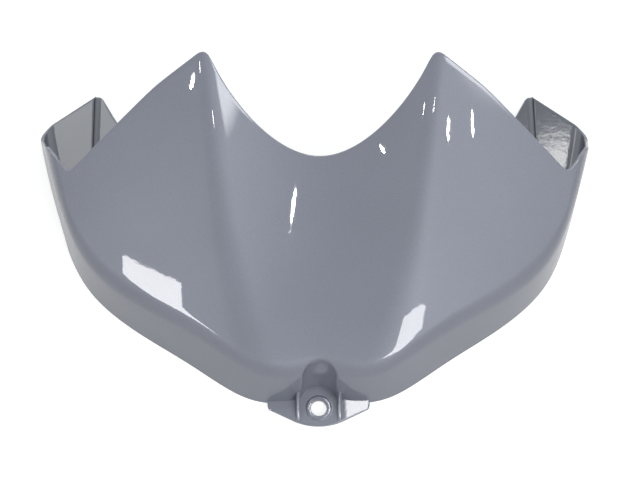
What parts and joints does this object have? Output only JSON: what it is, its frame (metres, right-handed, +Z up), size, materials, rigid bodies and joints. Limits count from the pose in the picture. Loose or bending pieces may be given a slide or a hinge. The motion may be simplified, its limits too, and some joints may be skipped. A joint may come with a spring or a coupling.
{
  "type": "motorcycle tank front cover fairing",
  "caption": "Moulded front cover for a motorcycle fuel tank, with two ridges, a rear notch, turned-under side wings and a bolt pocket at the nose.",
  "frame": {"origin": "centre of the bolt hole, in the flat plane that the rim stands on", "axes": "+X across the bike, -Y towards the nose, +Z up along the bolt"},
  "size_m": [0.3984, 0.2485, 0.1417],
  "materials": {
    "tank_cover": "moulded ABS in glossy grey paint"
  },
  "bodies": {
    "root": {"tank_cover": "tank_cover"}
  },
  "joints": []
}
